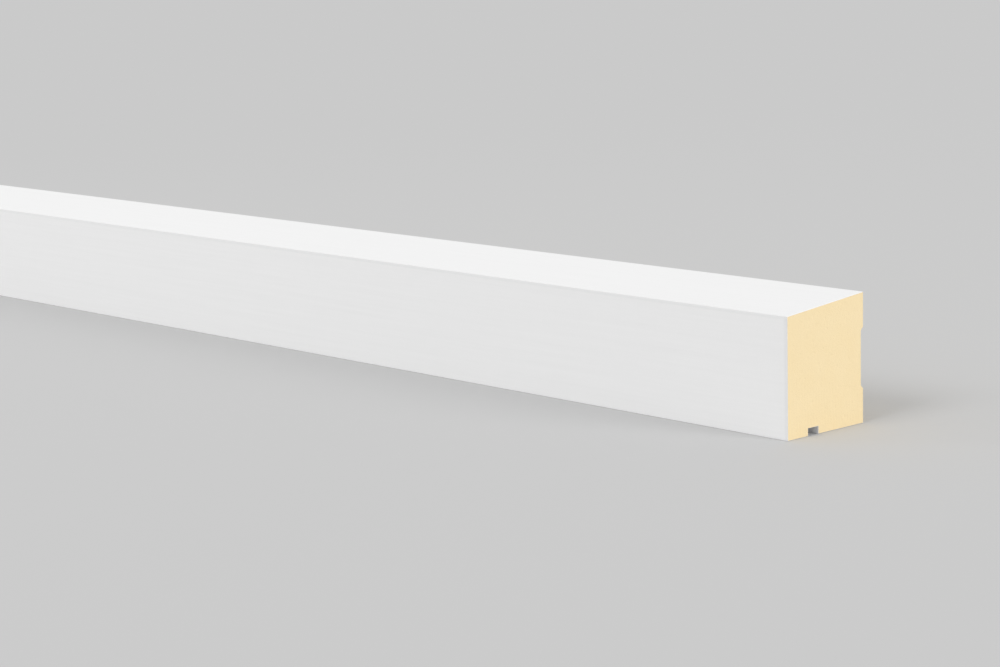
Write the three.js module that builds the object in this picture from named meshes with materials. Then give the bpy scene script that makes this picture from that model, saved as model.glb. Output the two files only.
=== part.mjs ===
// Facade moulding: a straight length of band for an outside wall, cut square at both ends.
// A rigid cream foam core carries the shape. A thin white coating is bonded to the front, the
// sloping top and the underside, and lines the drip groove. The back stays bare foam, with a
// shallow pocket for the adhesive that holds the moulding to the wall.
// Millimetres. X runs along the moulding, -Y is the front, +Y is the wall side and +Z is up.
// The origin is at the middle of the underside.
import * as THREE from "three";

// Driving dimensions
const LENGTH = 1000; // cut length of the run
const DEPTH = 60; // how far the moulding stands out from the wall
const FRONT_HEIGHT = 64.5;
const BACK_HEIGHT = 70; // the top falls from the wall to the front, to shed rain
const COATING = 0.2; // thickness of the white coating
const ARRIS_STEPS = 6; // straight steps in each front edge, where the coating turns a corner

const GROOVE_FROM_FRONT = 15.9; // drip groove in the underside, measured over the coating
const GROOVE_WIDTH = 7.9;
const GROOVE_HEIGHT = 4.1;

const POCKET_HEIGHT = 33; // adhesive pocket at its mouth, centred on the back
const POCKET_DEPTH = 1.8;
const POCKET_FLANK = 2; // height that each sloping flank of the pocket takes

const WHITE_COATING = { color: 0xf1f1f1, roughness: 0.62, metalness: 0 };
const CREAM_FOAM = { color: 0xf5e0b4, roughness: 0.9, metalness: 0 };

const FRONT = -DEPTH / 2;
const BACK = DEPTH / 2;
const TOP_SLOPE = Math.atan2(BACK_HEIGHT - FRONT_HEIGHT, DEPTH);

// Height of the sloping top at a depth, moved down square to itself by the inset.
function topHeight(depth, inset) {
  return FRONT_HEIGHT + (depth - FRONT) * Math.tan(TOP_SLOPE) - inset / Math.cos(TOP_SLOPE);
}

// A front edge of the section, from one angle to the other. The foam's own edge is a sharp corner.
// The coating turns round that corner, so its outside is an arc with the coating's thickness as
// its radius.
function arris(cornerZ, inset, from, to) {
  const cornerY = FRONT + COATING;
  const radius = COATING - inset;
  if (radius === 0) return [new THREE.Vector2(cornerY, cornerZ)];
  return Array.from({ length: ARRIS_STEPS + 1 }, (_, step) => {
    const angle = from + ((to - from) * step) / ARRIS_STEPS;
    return new THREE.Vector2(cornerY + radius * Math.cos(angle), cornerZ + radius * Math.sin(angle));
  });
}

// The lower front edge, turning from the underside up to the front.
function lowerArris(inset) {
  return arris(COATING, inset, 1.5 * Math.PI, Math.PI);
}

// The upper front edge, turning from the front back to the sloping top.
function upperArris(inset) {
  const cornerZ = topHeight(FRONT + COATING, COATING);
  return arris(cornerZ, inset, Math.PI, Math.PI / 2 + TOP_SLOPE);
}

// The drip groove, from its rear lip round to its front lip. The inset widens it into the foam.
function groove(inset) {
  const rear = FRONT + GROOVE_FROM_FRONT + GROOVE_WIDTH + inset;
  const front = FRONT + GROOVE_FROM_FRONT - inset;
  const roof = GROOVE_HEIGHT + inset;
  return [
    new THREE.Vector2(rear, inset),
    new THREE.Vector2(rear, roof),
    new THREE.Vector2(front, roof),
    new THREE.Vector2(front, inset),
  ];
}

// The coated sides of the section, from the lower back edge round the front to the upper back
// edge. An inset of 0 is the coating's outside, and an inset of its thickness is the foam.
function coatedSides(inset) {
  return [
    new THREE.Vector2(BACK, inset),
    ...groove(inset),
    ...lowerArris(inset),
    ...upperArris(inset),
    new THREE.Vector2(BACK, topHeight(BACK, inset)),
  ];
}

// The bare back from its top down: an upper land, the pocket with its flanks, and a lower land.
function adhesivePocket() {
  const top = (BACK_HEIGHT + POCKET_HEIGHT) / 2;
  const bottom = (BACK_HEIGHT - POCKET_HEIGHT) / 2;
  const floor = BACK - POCKET_DEPTH;
  return [
    new THREE.Vector2(BACK, top),
    new THREE.Vector2(floor, top - POCKET_FLANK),
    new THREE.Vector2(floor, bottom + POCKET_FLANK),
    new THREE.Vector2(BACK, bottom),
  ];
}

// A section drawn in depth and height, run along the whole length.
function runOf(points) {
  const section = new THREE.Shape(points);
  const run = new THREE.ExtrudeGeometry(section, { depth: LENGTH, bevelEnabled: false });
  return run.translate(0, 0, -LENGTH / 2);
}

function foamCore() {
  const section = [...coatedSides(COATING), ...adhesivePocket()];
  const core = new THREE.Mesh(runOf(section), new THREE.MeshStandardMaterial(CREAM_FOAM));
  core.name = "foam_core";
  return core;
}

function coating() {
  const section = [...coatedSides(0), ...coatedSides(COATING).reverse()];
  const skin = new THREE.Mesh(runOf(section), new THREE.MeshStandardMaterial(WHITE_COATING));
  skin.name = "coating";
  return skin;
}

// The sections are drawn in X and Y and run along Z. The group turns them so that depth lies
// along Y, height along Z and the run along X.
const moulding = new THREE.Group();
moulding.add(foamCore(), coating());
moulding.setRotationFromMatrix(
  new THREE.Matrix4().makeBasis(
    new THREE.Vector3(0, 1, 0),
    new THREE.Vector3(0, 0, 1),
    new THREE.Vector3(1, 0, 0),
  ),
);

export default moulding;
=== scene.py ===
import math

import bpy
import numpy as np
from mathutils import Matrix, Vector


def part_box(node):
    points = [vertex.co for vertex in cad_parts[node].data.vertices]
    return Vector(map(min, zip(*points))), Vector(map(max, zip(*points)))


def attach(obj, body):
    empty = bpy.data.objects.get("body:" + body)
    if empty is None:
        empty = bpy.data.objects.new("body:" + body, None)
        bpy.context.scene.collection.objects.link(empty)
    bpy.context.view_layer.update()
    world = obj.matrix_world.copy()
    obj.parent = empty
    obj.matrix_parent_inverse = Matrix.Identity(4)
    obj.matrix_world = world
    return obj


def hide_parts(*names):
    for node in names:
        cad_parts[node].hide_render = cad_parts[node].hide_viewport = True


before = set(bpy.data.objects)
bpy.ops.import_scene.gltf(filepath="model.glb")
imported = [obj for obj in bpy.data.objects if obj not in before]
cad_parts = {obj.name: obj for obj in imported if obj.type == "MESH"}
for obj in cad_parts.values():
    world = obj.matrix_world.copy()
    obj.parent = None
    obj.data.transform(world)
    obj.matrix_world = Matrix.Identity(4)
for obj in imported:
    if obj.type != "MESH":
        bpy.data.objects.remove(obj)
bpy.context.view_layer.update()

# Foam core
# One block of rigid cream polyurethane foam with fine closed cells, which carries the section.
# A circular saw cuts its ends square, and a moulder planes its back to meet the wall and sinks
# the shallow pocket for the adhesive. Sizes are in millimetres.
MM = 0.001
TOP_FALL = 5.5  # the top falls by this much from the wall side to the front
GROOVE_FROM_FRONT = 15.9  # the drip groove in the underside, measured over the coating
GROOVE_WIDTH = 7.9
GROOVE_HEIGHT = 4.1
POCKET_SPAN = (18.5, 51.5)  # the pocket's mouth on the back, from its lower to its upper edge
POCKET_DEPTH = 1.8
POCKET_FLANK = 2.0  # height that each sloping flank of the pocket takes

core_low, core_high = (np.round(np.array(corner) / MM, 3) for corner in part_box("foam_core"))
coat_low, coat_high = (np.round(np.array(corner) / MM, 3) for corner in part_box("coating"))
COATING = core_low[2] - coat_low[2]  # thickness of the white coating
CORE_FRONT, CORE_UNDERSIDE = core_low[1:]
CORE_BACK, CORE_TOP = core_high[1:]
HALF_RUN = core_high[0]
SLOPE = math.atan2(TOP_FALL, coat_high[1] - coat_low[1])
GROOVE_FRONT = coat_low[1] + GROOVE_FROM_FRONT - COATING  # the groove as cut in the foam
GROOVE_REAR = coat_low[1] + GROOVE_FROM_FRONT + GROOVE_WIDTH + COATING
GROOVE_ROOF = GROOVE_HEIGHT + COATING
POCKET_FLOOR = CORE_BACK - POCKET_DEPTH

SAWN_STEP = 0.45  # spacing of the points over the sawn ends
RUN_STEP = 25.0  # spacing of the points along the run
SAWN_BACK = 0.05  # the soft foam is cut this much shorter than the hard coating around it
SAW_CENTRE = (150.0, 20.0)  # depth and height of the saw blade's axis
SAW_PITCH = 2.2  # distance between the arcs that the blade's teeth leave
SAW_DEPTH = 0.03
SAW_FADE = 0.4  # swing of the arcs' depth along them, to each side of its middle value
SAW_WAVES = 9  # how many times it does so in a full turn round the saw's axis
PORE_COUNT = 110  # open cells on each end that are large enough to see
PORE_RADIUS = (0.5, 1.0)
PORE_DEPTH = (0.04, 0.13)
PLANER_WIDTH = 3.7  # width of the lengthwise strips that the moulder's knives leave on the back
PLANER_DEPTH = 0.12
SHARP_ANGLE = 30  # degrees that an edge may turn before it is shaded as a sharp one


def lines_through(marks, steps):
    """Places from the first mark to the last. Each gap between marks is cut into equal steps,
    none longer than the step given for it."""
    gaps = zip(marks, marks[1:], np.broadcast_to(steps, len(marks) - 1))
    parts = [np.linspace(a, b, math.ceil((b - a) / step), endpoint=False) for a, b, step in gaps]
    return np.concatenate([*parts, marks[-1:]])


def core_section():
    """Points (depth, height) and square faces that fill the core's section.

    A grid of depths and heights loses its squares inside the groove and the pocket. Beside each
    flank of the pocket the depths shrink from the back to the pocket's floor. Above the pocket
    the heights shrink in proportion, so that the last row lies on the sloping top."""
    low_mouth, high_mouth = POCKET_SPAN
    low_floor = low_mouth + POCKET_FLANK
    high_floor = high_mouth - POCKET_FLANK
    depth_marks = [CORE_FRONT, GROOVE_FRONT, GROOVE_REAR, POCKET_FLOOR, CORE_BACK]
    height_marks = [
        CORE_UNDERSIDE, GROOVE_ROOF, low_mouth, low_floor, high_floor, high_mouth, CORE_TOP,
    ]
    depths, heights = np.meshgrid(
        lines_through(depth_marks, SAWN_STEP), lines_through(height_marks, SAWN_STEP)
    )
    middle_depth = (depths[1:, 1:] + depths[:-1, :-1]) / 2
    middle_height = (heights[1:, 1:] + heights[:-1, :-1]) / 2
    in_groove = (middle_depth > GROOVE_FRONT) & (middle_depth < GROOVE_REAR)
    in_groove &= middle_height < GROOVE_ROOF
    in_pocket = (middle_depth > POCKET_FLOOR) & (middle_height > low_floor)
    in_pocket &= middle_height < high_floor
    kept = ~(in_groove | in_pocket)

    open_share = np.interp(
        heights, [low_mouth, low_floor, high_floor, high_mouth], [1, 0, 0, 1]
    )
    flank_depths = POCKET_FLOOR + (depths - POCKET_FLOOR) * open_share
    depths = np.where(depths > POCKET_FLOOR, flank_depths, depths)
    fall = (CORE_BACK - depths) * math.tan(SLOPE)
    rise_share = np.clip((heights - high_mouth) / (CORE_TOP - high_mouth), 0, 1)
    heights = heights - fall * rise_share

    number = np.arange(depths.size).reshape(depths.shape)
    squares = np.stack(
        [number[:-1, :-1], number[:-1, 1:], number[1:, 1:], number[1:, :-1]], axis=-1
    )
    return np.stack([depths.ravel(), heights.ravel()], axis=1), squares[kept]


def merged(points, faces):
    """The mesh in triangles with its coincident points made one and unused points gone. A square
    that has collapsed to a triangle becomes one, and one that has collapsed to a line goes."""
    triangles = np.concatenate([faces[:, [0, 1, 2]], faces[:, [0, 2, 3]]])
    _, first, place = np.unique(
        np.round(points, 6), axis=0, return_index=True, return_inverse=True
    )
    triangles = place.reshape(-1)[triangles]
    a, b, c = triangles.T
    triangles = triangles[(a != b) & (b != c) & (c != a)]
    used, triangles = np.unique(triangles, return_inverse=True)
    return points[first[used]], triangles.reshape(-1, 3)


def sawn_depth(section, random):
    """How far the saw leaves each point of a sawn end behind its highest points.

    Arcs: a wave of the distance from the saw's axis, one crest for each pitch, that fades in and
    out along the arc. Open cells: each is a bowl, as deep as it is at its middle times one less
    the square of the share of its radius from there, and where bowls meet the deepest counts."""
    depth, height = section.T
    across = depth - SAW_CENTRE[0]
    up = height - SAW_CENTRE[1]
    crest = 0.5 + 0.5 * np.cos(2 * np.pi * np.hypot(across, up) / SAW_PITCH)
    turn = SAW_WAVES * np.arctan2(up, across) + random.uniform(0, 2 * np.pi)
    fade = 1 - SAW_FADE + SAW_FADE * np.sin(turn)
    low, high = section.min(axis=0), section.max(axis=0)
    centres = random.uniform(low, high, (PORE_COUNT, 2))
    radii = random.uniform(*PORE_RADIUS, PORE_COUNT)
    deepest = random.uniform(*PORE_DEPTH, PORE_COUNT)
    away = np.linalg.norm(section[:, None] - centres, axis=2) / radii
    bowls = np.max(deepest * np.clip(1 - away**2, 0, None), axis=1)
    return SAW_DEPTH * crest * fade + bowls


def planed_depth(section, random):
    """How far each point on the back lies under its highest strip. Every knife leaves a strip of
    its own depth, hollow across its width like half a wave."""
    depth, height = section.T
    strip = height / PLANER_WIDTH
    knife = random.uniform(0, PLANER_DEPTH / 2, math.ceil(CORE_TOP / PLANER_WIDTH) + 1)
    hollow = PLANER_DEPTH / 2 * abs(np.sin(np.pi * strip))
    sunk = knife[np.floor(strip).astype(int)] + hollow
    return np.where(depth >= POCKET_FLOOR, sunk, 0)


def core_mesh():
    """The core as a closed run: its section at both ends, and between them the section's rim
    carried along the run. The saw's relief moves the two ends along the run, and the planer's
    moves the back towards the front."""
    section, squares = core_section()
    section, end_faces = merged(section, squares)
    random = np.random.default_rng(17)
    count = len(section)
    stations = np.linspace(-1, 1, 1 + round(2 * HALF_RUN / RUN_STEP)) * (HALF_RUN - SAWN_BACK)

    edges = np.concatenate([end_faces[:, [0, 1]], end_faces[:, [1, 2]], end_faces[:, [2, 0]]])
    key = edges[:, 0] * count + edges[:, 1]
    opposite = edges[:, 1] * count + edges[:, 0]
    rim = edges[~np.isin(key, opposite)]

    run = np.repeat(stations[:, None], count, axis=1)
    run[0] += sawn_depth(section, random)
    run[-1] -= sawn_depth(section, random)
    on_rim = np.isin(np.arange(count), rim)
    profile = section - np.outer(planed_depth(section, random) * on_rim, [1, 0])
    points = np.column_stack([run.ravel(), np.tile(profile, (len(stations), 1))])
    steps = np.arange(len(stations) - 1)[:, None] * count
    start, end = rim[:, 0] + steps, rim[:, 1] + steps
    sides = np.stack([start, end, end + count, start + count], axis=-1).reshape(-1, 4)
    side_faces = np.concatenate([sides[:, [0, 1, 2]], sides[:, [0, 2, 3]]])
    far_end = end_faces + (len(stations) - 1) * count
    triangles = np.concatenate([end_faces[:, ::-1], far_end, side_faces])
    used, triangles = np.unique(triangles, return_inverse=True)
    return points[used], triangles.reshape(-1, 3)


def mesh_object(name, points, triangles):
    """A mesh object at the origin from points in millimetres and triangles that face outwards."""
    mesh = bpy.data.meshes.new(name)
    mesh.from_pydata((points * MM).tolist(), [], triangles.tolist())
    mesh.polygons.foreach_set("use_smooth", np.ones(len(triangles), bool))
    mesh.set_sharp_from_angle(angle=math.radians(SHARP_ANGLE))
    mesh.update()
    made = bpy.data.objects.new(name, mesh)
    bpy.context.scene.collection.objects.link(made)
    return made


def linear(colour):
    """The linear RGBA of an sRGB hex colour."""
    share = np.array([int(colour[i : i + 2], 16) for i in (1, 3, 5)]) / 255
    light = np.where(share <= 0.04045, share / 12.92, ((share + 0.055) / 1.055) ** 2.4)
    return (*light.tolist(), 1.0)


def empty_material(name):
    """A material with no nodes yet, and its node tree."""
    material = bpy.data.materials.new(name)
    material.use_nodes = True
    material.node_tree.nodes.clear()
    return material, material.node_tree


def add_node(tree, kind, inputs=None, **settings):
    """Adds a node with its settings. Inputs go by identifier, and each is a value, or a socket
    to link from."""
    node = tree.nodes.new(kind)
    for name, value in settings.items():
        setattr(node, name, value)
    sockets = {socket.identifier: socket for socket in node.inputs}
    for name, value in (inputs or {}).items():
        if isinstance(value, bpy.types.NodeSocket):
            tree.links.new(value, sockets[name])
        else:
            sockets[name].default_value = value
    return node


# Rigid polyurethane foam, sawn and planed: an even, dead matt cream. Its closed cells are about
# 0.25 mm across, which is under half a pixel, so they are drawn at 0.45 mm. Cut open they are
# small cups, whose middles are darkened with painted shade, and from a step away they give the
# eye a soft powdery grain. The blend rises unevenly in the mould, which leaves slightly darker
# cream clouds. The moulder's knives strike the back once for each step that the block is fed past
# them.
CELL = 0.45 * MM
CUP_DEPTH = 0.06 * MM
CUP_PAINTED_SHADE = 0.12  # how far painted shade takes the middle of a cup to its darker colour
CLOUD = 14 * MM
KNIFE_STEP = 1.6 * MM
KNIFE_DEPTH = 0.02 * MM
KNIFE_WANDER = 0.6  # how far the knife marks stray from straight lines
foam, tree = empty_material("sawn_polyurethane_foam")
place = add_node(tree, "ShaderNodeTexCoord").outputs["Object"]
cells = add_node(tree, "ShaderNodeTexVoronoi", {"Vector": place, "Scale": 1 / CELL})
clouds = add_node(tree, "ShaderNodeTexNoise", {"Vector": place, "Scale": 1 / CLOUD, "Detail": 3.0})
tint = add_node(
    tree, "ShaderNodeMix",
    {
        "Factor_Float": clouds.outputs["Fac"],
        "A_Color": linear("#F7E3B9"),
        "B_Color": linear("#F5DFB1"),
    },
    data_type="RGBA",
)
# Painted shade: the middle of each cell's cup is darkened towards a dark cream, as if shadowed.
shade = add_node(
    tree, "ShaderNodeMapRange",
    {"Value": cells.outputs["Distance"], "From Max": 0.6, "To Min": CUP_PAINTED_SHADE, "To Max": 0.0},
)
tint_with_cup_shade = add_node(
    tree, "ShaderNodeMix",
    {
        "Factor_Float": shade.outputs["Result"],
        "A_Color": tint.outputs[2],
        "B_Color": linear("#B99B62"),
    },
    data_type="RGBA",
)
cups = add_node(
    tree, "ShaderNodeBump",
    {"Height": cells.outputs["Distance"], "Distance": CUP_DEPTH, "Strength": 1.0},
)
strikes = add_node(
    tree, "ShaderNodeTexWave",
    # The node's bands are a tenth of pi apart at a scale of one.
    {"Vector": place, "Scale": math.pi / (10 * KNIFE_STEP), "Distortion": KNIFE_WANDER},
    wave_type="BANDS", bands_direction="X",
)
planed = add_node(
    tree, "ShaderNodeBump",
    {
        "Height": strikes.outputs["Fac"],
        "Distance": KNIFE_DEPTH,
        "Strength": 1.0,
        "Normal": cups.outputs["Normal"],
    },
)
shader = add_node(
    tree, "ShaderNodeBsdfPrincipled",
    {
        "Base Color": tint_with_cup_shade.outputs[2],
        "Roughness": 0.9,
        "IOR": 1.5,
        "Normal": planed.outputs["Normal"],
    },
)
add_node(tree, "ShaderNodeOutputMaterial", {"Surface": shader.outputs["BSDF"]})

points, triangles = core_mesh()
core = mesh_object("foam_core_dressed", points, triangles)
core.data.materials.append(foam)
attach(core, "root")
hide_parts("foam_core")

# Coating
# A thin skin of white mineral-filled primer on the front, the sloping top, the underside and the
# inside of the drip groove. It is drawn along the run wet through a template, and sawn through
# with the foam once it is hard, which crushes it a little at the cut.
ARC_STEPS = 6  # straight steps where the coating turns round a corner of the foam
FINE_BAND = 2.4  # width beside each corner of the section where the points lie close together
FINE_STEP = 0.3
WIDE_STEP = 1.2
CRUSHED_BAND = 1.6  # length beside each cut where the saw has crushed the coating
CRUSHED_SHARE = 0.75  # share of the coating's thickness that is gone right at the cut
CALM_BAND = 4.0  # length beside each cut after which the points spread out
STATION_STEP = 12.0
BEAD_SHARE = 0.5  # the coating is thicker by this share on the upper front arris
BEAD_REACH = 1.8  # distance from the arris over which the bead falls back to the face
DRAWN_SHARE = 0.06  # height of the template's faint lengthwise lines as a share of the coating
DRAWN_WIDTHS = (3.1, 4.3, 5.9, 8.3)  # widths of the waves that make up those lines
# Painted shade: a darker line along the front's edges, beside each cut and just under the upper
# arris.
EDGE_SHADE_AT_CUT = (1.5, 2.6)  # painted shade greys the front to the first distance from a cut, and it is clean at the second
EDGE_SHADE_AT_ARRIS = (0.25, 1.2, 2.0)  # likewise in a line that starts just under the upper arris
ARRIS_EDGE_SHADE = 0.4  # that line is this much as grey as the cut's edge


def coated_corners():
    """Corners of the foam's coated sides, from the lower back edge round to the upper one."""
    front_top = CORE_TOP - (CORE_BACK - CORE_FRONT) * math.tan(SLOPE)
    return np.array([
        (CORE_BACK, CORE_UNDERSIDE), (GROOVE_REAR, CORE_UNDERSIDE),
        (GROOVE_REAR, GROOVE_ROOF), (GROOVE_FRONT, GROOVE_ROOF),
        (GROOVE_FRONT, CORE_UNDERSIDE), (CORE_FRONT, CORE_UNDERSIDE),
        (CORE_FRONT, front_top), (CORE_BACK, CORE_TOP),
    ])


def coating_section():
    """Points on the foam, and for each the step (depth, height) from it to the coating's outside.

    Along a straight side the step is the coating's thickness, square to the side. At an outer
    corner the foam's corner repeats while the step turns, which makes an arc. At an inner corner
    the outside stops short by the thickness, and on the slope it runs on to the back's plane."""
    corners = coated_corners()
    sides = np.diff(corners, axis=0)
    lengths = np.linalg.norm(sides, axis=1)
    along = sides / lengths[:, None]
    square = np.column_stack([-along[:, 1], along[:, 0]])
    turns = along[:-1, 0] * along[1:, 1] - along[:-1, 1] * along[1:, 0]
    run_on = np.concatenate([[0], -COATING * (turns > 0), [COATING * math.tan(SLOPE)]])
    foam_points, outward = [], []
    for side, length in enumerate(lengths):
        band = min(FINE_BAND, length / 2)
        marks = [0, band, length - band, length]
        share = lines_through(marks, [FINE_STEP, WIDE_STEP, FINE_STEP])[:, None] / length
        spread = share * run_on[side + 1] - (1 - share) * run_on[side]
        foam_points.append(corners[side] + share * sides[side])
        outward.append(COATING * square[side] + spread * along[side])
        if side < len(turns) and turns[side] < 0:
            first = math.atan2(square[side, 1], square[side, 0])
            turn = math.asin(turns[side])
            angles = first + turn * np.arange(1, ARC_STEPS)[:, None] / ARC_STEPS
            foam_points.append(np.repeat(corners[side + 1 : side + 2], ARC_STEPS - 1, axis=0))
            outward.append(COATING * np.hstack([np.cos(angles), np.sin(angles)]))
    return np.concatenate(foam_points), np.concatenate(outward)


def coating_share(stations, foam_points, random):
    """How thick the coating is at each station and section point, as a share of its thickness.

    It is one, plus the bead, plus the drawn lines, less what the saw crushed. The bead falls off
    smoothly with the distance from the upper front corner. The lines are sine waves of the
    distance round the section on the front and the top, and they fade out beside each corner.
    The crushing grows with the square of the nearness to the cut."""
    corners = coated_corners()
    upper_front = corners[-2]
    to_arris = np.linalg.norm(foam_points - upper_front, axis=1)
    away = np.clip(to_arris / BEAD_REACH, 0, 1)
    bead = BEAD_SHARE * (1 - 3 * away**2 + 2 * away**3)

    to_corner = np.linalg.norm(foam_points[:, None] - corners, axis=2).min(axis=1)
    clear = np.clip(to_corner / BEAD_REACH, 0, 1)
    widths = np.array(DRAWN_WIDTHS)
    phases = random.uniform(0, 2 * np.pi, len(widths))
    signed = np.where(foam_points[:, 0] > CORE_FRONT, to_arris, -to_arris)
    wave = np.sin(2 * np.pi * signed[:, None] / widths + phases).mean(axis=1)
    on_show = (foam_points[:, 0] == CORE_FRONT) | (foam_points[:, 1] > upper_front[1])
    lines = DRAWN_SHARE * wave * (3 * clear**2 - 2 * clear**3) * on_show

    to_cut = HALF_RUN - abs(stations)[:, None]
    crushed = CRUSHED_SHARE * np.clip(1 - to_cut / CRUSHED_BAND, 0, 1) ** 2
    return 1 + bead + lines - crushed


def coating_mesh():
    """The coating as a closed run: its outside and the foam's surface under it, carried along
    the run, and a strip between the two at each cut and along each back edge."""
    foam_points, outward = coating_section()
    calm, crushed = HALF_RUN - CALM_BAND, HALF_RUN - CRUSHED_BAND
    stations = lines_through(
        [-HALF_RUN, -crushed, -calm, calm, crushed, HALF_RUN],
        [FINE_STEP, 3 * FINE_STEP, STATION_STEP, 3 * FINE_STEP, FINE_STEP],
    )
    share = coating_share(stations, foam_points, np.random.default_rng(5))
    inside = np.broadcast_to(foam_points, (*share.shape, 2))
    outside = inside + share[:, :, None] * outward
    rings = np.concatenate([outside, inside[:, ::-1]], axis=1)
    run = np.broadcast_to(stations[:, None, None], (*rings.shape[:2], 1))
    points = np.concatenate([run, rings], axis=2).reshape(-1, 3)

    around = rings.shape[1]
    count = len(foam_points)
    number = np.arange(len(points)).reshape(-1, around)
    onward = np.roll(number, -1, axis=1)
    sides = np.stack([number[:-1], number[1:], onward[1:], onward[:-1]], axis=-1).reshape(-1, 4)
    outer, inner = number[:, :count], number[:, : count - 1 : -1]
    strips = np.stack([outer[:, :-1], outer[:, 1:], inner[:, 1:], inner[:, :-1]], axis=-1)
    return merged(points, np.concatenate([sides, strips[0], strips[-1][:, ::-1]]))


def edge_shade_share(points):
    """How far each point of the front is greyed by painted shade, a darker line along its edges. The
    share falls in a straight line with the distance from a cut, and with the height below the upper
    arris."""
    run, depth, height = points.T
    upper_front = coated_corners()[-2]
    at_cut = np.interp(HALF_RUN - abs(run), EDGE_SHADE_AT_CUT, [1, 0])
    at_arris = np.interp(upper_front[1] - height, [0, *EDGE_SHADE_AT_ARRIS], [0, 1, 1, 0])
    return np.maximum(at_cut, ARRIS_EDGE_SHADE * at_arris) * (depth < CORE_FRONT)


# White mineral-filled primer, drawn wet through a template and dried: a bright, even, matt white.
# Its filler is about 0.05 mm, far too fine to show, so the grain is drawn at 0.4 mm to take the
# hardness off the light. The template leaves streaks along the run that differ by a shade, and
# painted shade makes the front a little greyer beside each cut and just under the upper arris.
GRAIN = 0.4 * MM
GRAIN_HEIGHT = 0.03 * MM
STREAK = (90 * MM, 1.8 * MM, 1.8 * MM)
primer, tree = empty_material("drawn_white_primer")
place = add_node(tree, "ShaderNodeTexCoord").outputs["Object"]
drawn = add_node(tree, "ShaderNodeMapping", {"Vector": place, "Scale": [1 / s for s in STREAK]})
streaks = add_node(
    tree, "ShaderNodeTexNoise",
    {"Vector": drawn.outputs["Vector"], "Scale": 1.0, "Detail": 2.0},
)
white = add_node(
    tree, "ShaderNodeMix",
    {
        "Factor_Float": streaks.outputs["Fac"],
        "A_Color": linear("#EFEFEF"),
        "B_Color": linear("#F3F3F3"),
    },
    data_type="RGBA",
)
# Painted shade: a grey mixed into the white along the front's edges, read from a point attribute.
painted_edge_shade = add_node(tree, "ShaderNodeAttribute", attribute_name="painted_edge_shade")
white_with_edge_shade = add_node(
    tree, "ShaderNodeMix",
    {
        "Factor_Float": painted_edge_shade.outputs["Fac"],
        "A_Color": white.outputs[2],
        "B_Color": linear("#EBEBEB"),
    },
    data_type="RGBA",
)
dull = add_node(
    tree, "ShaderNodeMapRange",
    {"Value": streaks.outputs["Fac"], "To Min": 0.68, "To Max": 0.56},
)
filler = add_node(
    tree, "ShaderNodeTexNoise", {"Vector": place, "Scale": 1 / GRAIN, "Detail": 2.0}
)
tooth = add_node(
    tree, "ShaderNodeBump",
    {"Height": filler.outputs["Fac"], "Distance": GRAIN_HEIGHT, "Strength": 1.0},
)
shader = add_node(
    tree, "ShaderNodeBsdfPrincipled",
    {
        "Base Color": white_with_edge_shade.outputs[2],
        "Roughness": dull.outputs["Result"],
        "IOR": 1.5,
        "Normal": tooth.outputs["Normal"],
    },
)
add_node(tree, "ShaderNodeOutputMaterial", {"Surface": shader.outputs["BSDF"]})

points, triangles = coating_mesh()
skin = mesh_object("coating_dressed", points, triangles)
# The painted shade line along the front's edges is stored on the points.
skin.data.attributes.new("painted_edge_shade", "FLOAT", "POINT").data.foreach_set("value", edge_shade_share(points))
skin.data.materials.append(primer)
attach(skin, "root")
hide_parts("coating")

# Floor
# A wide sheet of board painted a plain matt grey, which the moulding stands on. It lies a hair
# under the moulding, so that the two faces don't flicker through each other.
FLOOR_REACH = 40.0
FLOOR_DROP = 0.05 * MM
floor_corners = [
    (x * FLOOR_REACH, y * FLOOR_REACH, -FLOOR_DROP) for x, y in ((-1, -1), (1, -1), (1, 1), (-1, 1))
]
floor_mesh = bpy.data.meshes.new("floor")
floor_mesh.from_pydata(floor_corners, [], [(0, 1, 2, 3)])
floor = bpy.data.objects.new("floor", floor_mesh)
bpy.context.scene.collection.objects.link(floor)
board, tree = empty_material("matt_painted_board")
shader = add_node(
    tree, "ShaderNodeBsdfPrincipled",
    {"Base Color": linear("#C9C9C9"), "Roughness": 1.0, "Specular IOR Level": 0.0},
)
add_node(tree, "ShaderNodeOutputMaterial", {"Surface": shader.outputs["BSDF"]})
floor_mesh.materials.append(board)

# Lights
# An even white studio. A soft key from above the front lights the top and the front, and a low
# soft light from the right lights the cut end. A softbox on the left makes the front fade towards
# the right, and its beam is narrow, so that it leaves no bright pool on the floor.
world = bpy.data.worlds.new("studio")
bpy.context.scene.world = world
world.use_nodes = True
studio = world.node_tree.nodes["Background"]
studio.inputs["Color"].default_value = (1, 1, 1, 1)
studio.inputs["Strength"].default_value = 0.715


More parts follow.
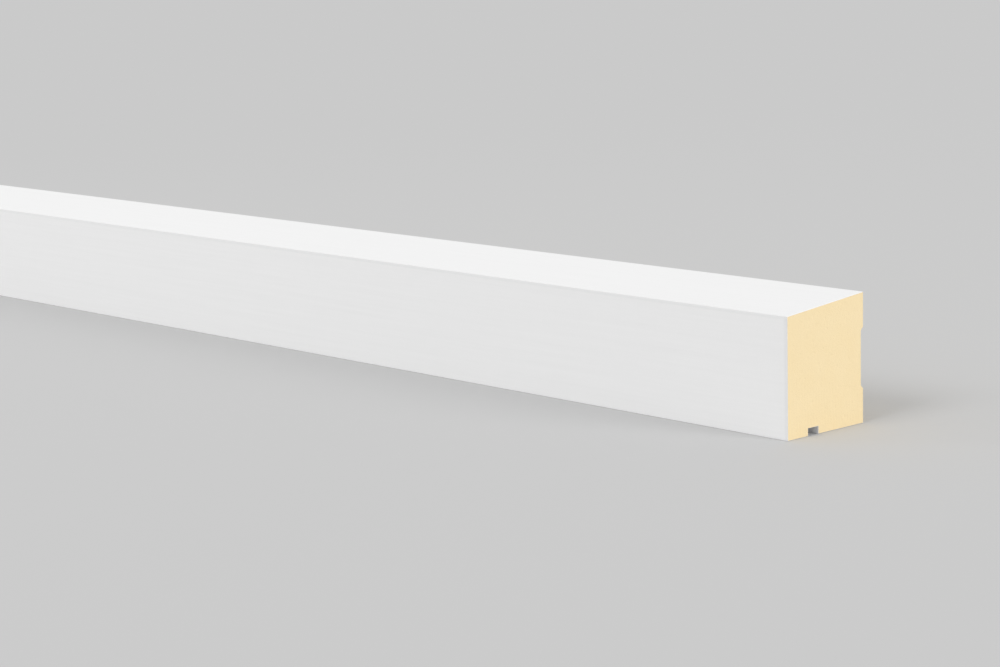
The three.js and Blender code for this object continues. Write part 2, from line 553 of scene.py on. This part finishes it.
def add_lamp(name, kind, energy, towards, place=(0, 0, 0)):
    """A lamp at place. The direction towards leads from the moulding to the light, and the lamp
    shines against it."""
    lamp = bpy.data.lights.new(name, kind)
    lamp.energy = energy
    made = bpy.data.objects.new(name, lamp)
    made.rotation_mode = "QUATERNION"
    made.rotation_quaternion = Vector(towards).to_track_quat("Z", "Y")
    made.location = place
    bpy.context.scene.collection.objects.link(made)
    return made


def soft_sun(name, strength, azimuth, elevation, angle):
    """A sun at an azimuth from the front towards +X, spread over an angle, all in degrees."""
    a, e = math.radians(azimuth), math.radians(elevation)
    towards = (math.sin(a) * math.cos(e), -math.cos(a) * math.cos(e), math.sin(e))
    add_lamp(name, "SUN", strength, towards).data.angle = math.radians(angle)


soft_sun("key", strength=0.82, azimuth=0, elevation=40, angle=25)
soft_sun("end_light", strength=1.19, azimuth=105, elevation=20, angle=25)
SOFTBOX_PLACE = (-1.6, -1.6, 0.9)
softbox = add_lamp("softbox", "AREA", 0.49, towards=SOFTBOX_PLACE, place=SOFTBOX_PLACE)
softbox.data.shape = "SQUARE"
softbox.data.size = 0.6
softbox.data.spread = math.radians(60)
softbox.visible_camera = False

# Camera
# At the photograph's viewing angle, in front of the right-hand end and a little above the top.
# Yaw turns the view from +Y towards -X, pitch tips it down, and roll turns the camera clockwise.
# Millimetres and degrees.
CAMERA_PLACE = (1323.0, -972.3, 274.1)
CAMERA_YAW, CAMERA_PITCH, CAMERA_ROLL = 47.816, 9.791, 1.458
CAMERA_LENS = 89.59
SENSOR_WIDTH = 36.0
yaw, pitch, roll = (math.radians(a) for a in (CAMERA_YAW, CAMERA_PITCH, CAMERA_ROLL))
ahead = Vector((-math.sin(yaw) * math.cos(pitch), math.cos(yaw) * math.cos(pitch), -math.sin(pitch)))
right = Vector((math.cos(yaw), math.sin(yaw), 0))
down = ahead.cross(right)
rolled_right = right * math.cos(roll) + down * math.sin(roll)
rolled_down = down * math.cos(roll) - right * math.sin(roll)
camera = bpy.data.objects.new("camera", bpy.data.cameras.new("camera"))
camera.data.lens = CAMERA_LENS
camera.data.sensor_width = SENSOR_WIDTH
axes = Matrix((rolled_right, -rolled_down, -ahead)).transposed().to_4x4()
camera.matrix_world = Matrix.Translation(Vector(CAMERA_PLACE) * MM) @ axes
bpy.context.scene.collection.objects.link(camera)
bpy.context.scene.camera = camera
bpy.context.scene.view_settings.view_transform = "Standard"
